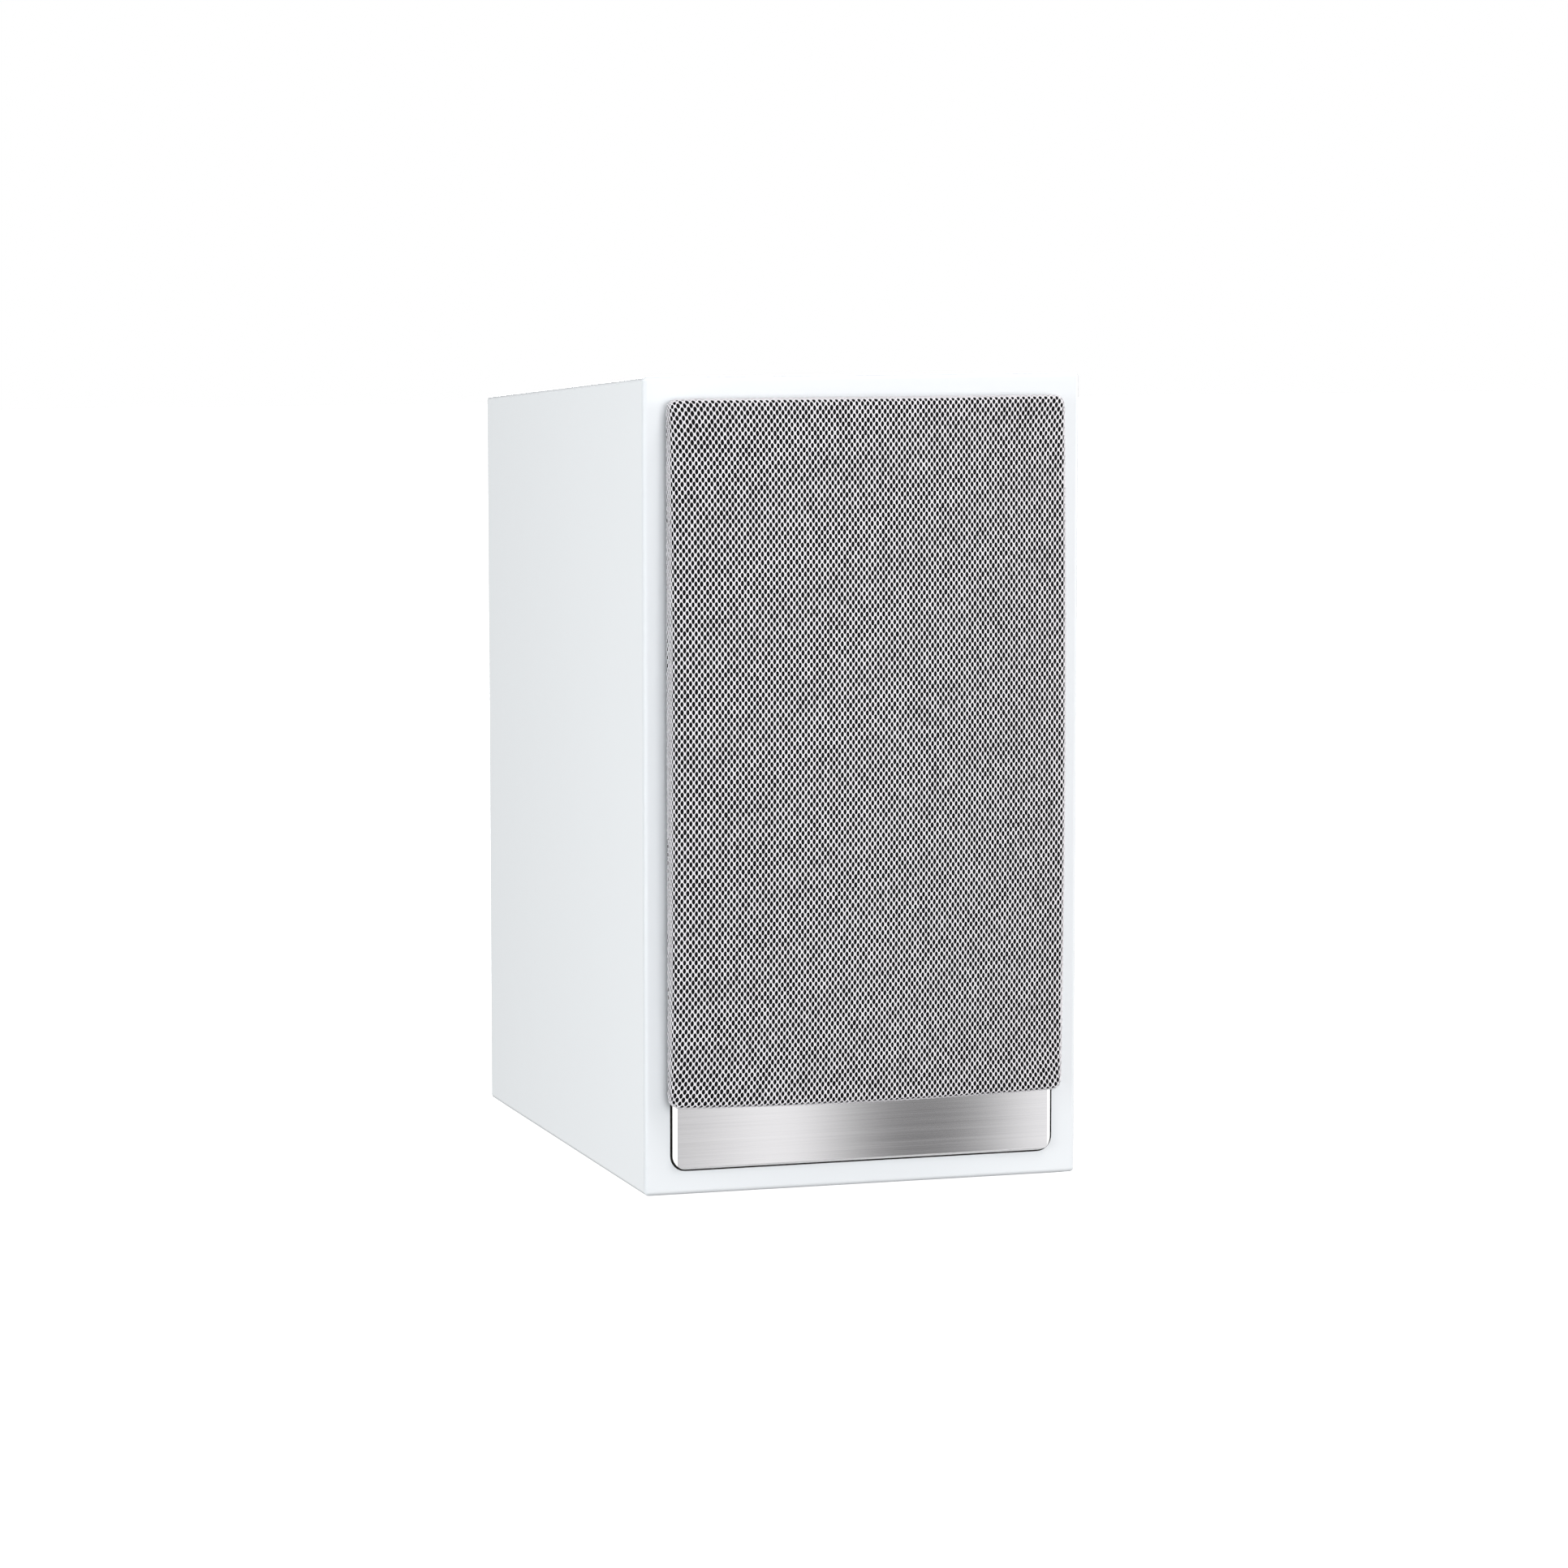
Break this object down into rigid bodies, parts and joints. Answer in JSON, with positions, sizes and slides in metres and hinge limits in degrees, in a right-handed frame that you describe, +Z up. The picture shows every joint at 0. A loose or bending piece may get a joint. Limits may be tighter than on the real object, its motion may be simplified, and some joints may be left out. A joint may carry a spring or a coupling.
{
  "type": "bookshelf loudspeaker",
  "caption": "Two-way bookshelf loudspeaker with a lacquered cabinet, crowned pull-off grille over a brushed plate, rear port and screw terminals.",
  "frame": {"origin": "on the floor under the middle of the overall box, feet at z = 0", "axes": "+Z up, the front with the grille faces -Y, +X is the speaker's right-hand side seen from the front"},
  "size_m": [0.192, 0.3, 0.3449],
  "materials": {
    "cabinet_lacquer": "gloss white lacquer over fibreboard",
    "rear_lacquer": "gloss white lacquer over fibreboard",
    "fibreboard": "bare medium-density fibreboard",
    "wadding": "loose polyester wadding",
    "brushed_aluminium": "horizontal brushed grain with polished side bevels",
    "rubber": "matt",
    "screw_steel": "black oxide",
    "gold_plate": "gold plated, polished",
    "knob_plastic": "satin, ribbed",
    "cast_alloy": "satin black paint on die-cast alloy",
    "surround_rubber": "satin",
    "cone_metal": "black anodised, satin",
    "copper_wire": "enamelled copper windings",
    "spider_cloth": "resin-dipped weave",
    "motor_steel": "zinc plated",
    "ferrite": "sintered, matt",
    "driver_plastic": "fine moulded texture",
    "black_plastic": "moulded, lightly textured",
    "diaphragm_foil": "etched foil on amber film",
    "circuit_board": "solder mask",
    "capacitor_film": "tape-wrapped",
    "resistor_ceramic": "cement",
    "lead_jacket": "soft jacket",
    "grille_cloth": "open knitted mesh, light grey"
  },
  "bodies": {
    "cabinet": {"cabinet_shell": "cabinet_lacquer", "capacitor_tweeter": "capacitor_film", "capacitor_woofer": "capacitor_film", "crossover_board": "circuit_board", "damping_wadding": "wadding", "foot_front_left": "rubber", "foot_front_right": "rubber", "foot_rear_left": "rubber", "foot_rear_right": "rubber", "front_plate": "brushed_aluminium", "inductor_tweeter": "copper_wire", "inductor_woofer": "copper_wire", "input_lead": "lead_jacket", "internal_brace": "fibreboard", "jumper_strap_left": "gold_plate", "jumper_strap_right": "gold_plate", "port_tube": "black_plastic", "rear_panel": "rear_lacquer", "resistor": "resistor_ceramic", "terminal_plate": "black_plastic", "terminal_post_lower_left": "gold_plate", "terminal_post_lower_right": "gold_plate", "terminal_post_upper_left": "gold_plate", "terminal_post_upper_right": "gold_plate", "tweeter_diaphragm": "diaphragm_foil", "tweeter_faceplate": "driver_plastic", "tweeter_lead": "lead_jacket", "tweeter_magnet_frame": "ferrite", "tweeter_pole_grid": "motor_steel", "tweeter_rear_cup": "black_plastic", "tweeter_screw_1": "screw_steel", "tweeter_screw_2": "screw_steel", "tweeter_screw_3": "screw_steel", "tweeter_screw_4": "screw_steel", "woofer_back_plate": "motor_steel", "woofer_basket": "cast_alloy", "woofer_gasket": "surround_rubber", "woofer_lead": "lead_jacket", "woofer_magnet": "ferrite", "woofer_screw_1": "screw_steel", "woofer_screw_2": "screw_steel", "woofer_screw_3": "screw_steel", "woofer_screw_4": "screw_steel", "woofer_spider": "spider_cloth", "woofer_surround": "surround_rubber", "woofer_top_plate": "motor_steel"},
    "grille": {"grille_frame": "black_plastic", "grille_cloth": "grille_cloth"},
    "woofer_moving": {"woofer_cone": "cone_metal", "woofer_dust_cap": "cone_metal", "voice_coil": "copper_wire"},
    "washer_upper_left": {"terminal_washer_upper_left": "gold_plate"},
    "knob_upper_left": {"terminal_knob_upper_left": "knob_plastic"},
    "washer_upper_right": {"terminal_washer_upper_right": "gold_plate"},
    "knob_upper_right": {"terminal_knob_upper_right": "knob_plastic"},
    "washer_lower_left": {"terminal_washer_lower_left": "gold_plate"},
    "knob_lower_left": {"terminal_knob_lower_left": "knob_plastic"},
    "washer_lower_right": {"terminal_washer_lower_right": "gold_plate"},
    "knob_lower_right": {"terminal_knob_lower_right": "knob_plastic"}
  },
  "joints": [
    {"name": "grille_pull", "type": "slide", "parent": "cabinet", "child": "grille", "axis": [0, -1, 0], "range_m": [0, 0.06]},
    {"name": "woofer_travel", "type": "slide", "parent": "cabinet", "child": "woofer_moving", "axis": [0, -1, 0], "range_m": [-0.006, 0.006], "stiffness_N_per_m": 1200, "deforming": ["woofer_surround", "woofer_spider"]},
    {"name": "washer_travel_upper_left", "type": "slide", "parent": "cabinet", "child": "washer_upper_left", "axis": [0, 1, 0], "range_m": [0, 0.005]},
    {"name": "knob_turn_upper_left", "type": "hinge", "parent": "washer_upper_left", "child": "knob_upper_left", "pos_m": [-0.0095, 0.1445, 0.098], "axis": [0, 1, 0], "range_deg": [0, 1800.01]},
    {"name": "washer_travel_upper_right", "type": "slide", "parent": "cabinet", "child": "washer_upper_right", "axis": [0, 1, 0], "range_m": [0, 0.005]},
    {"name": "knob_turn_upper_right", "type": "hinge", "parent": "washer_upper_right", "child": "knob_upper_right", "pos_m": [0.0095, 0.1445, 0.098], "axis": [0, 1, 0], "range_deg": [0, 1800.01]},
    {"name": "washer_travel_lower_left", "type": "slide", "parent": "cabinet", "child": "washer_lower_left", "axis": [0, 1, 0], "range_m": [0, 0.005]},
    {"name": "knob_turn_lower_left", "type": "hinge", "parent": "washer_lower_left", "child": "knob_lower_left", "pos_m": [-0.0095, 0.1445, 0.07], "axis": [0, 1, 0], "range_deg": [0, 1800.01]},
    {"name": "washer_travel_lower_right", "type": "slide", "parent": "cabinet", "child": "washer_lower_right", "axis": [0, 1, 0], "range_m": [0, 0.005]},
    {"name": "knob_turn_lower_right", "type": "hinge", "parent": "washer_lower_right", "child": "knob_lower_right", "pos_m": [0.0095, 0.1445, 0.07], "axis": [0, 1, 0], "range_deg": [0, 1800.01]}
  ],
  "couplings": [
    {"joint": "knob_turn_upper_left", "follows": "washer_travel_upper_left", "rad_per_m": 6283.2},
    {"joint": "knob_turn_upper_right", "follows": "washer_travel_upper_right", "rad_per_m": 6283.2},
    {"joint": "knob_turn_lower_left", "follows": "washer_travel_lower_left", "rad_per_m": 6283.2},
    {"joint": "knob_turn_lower_right", "follows": "washer_travel_lower_right", "rad_per_m": 6283.2}
  ]
}
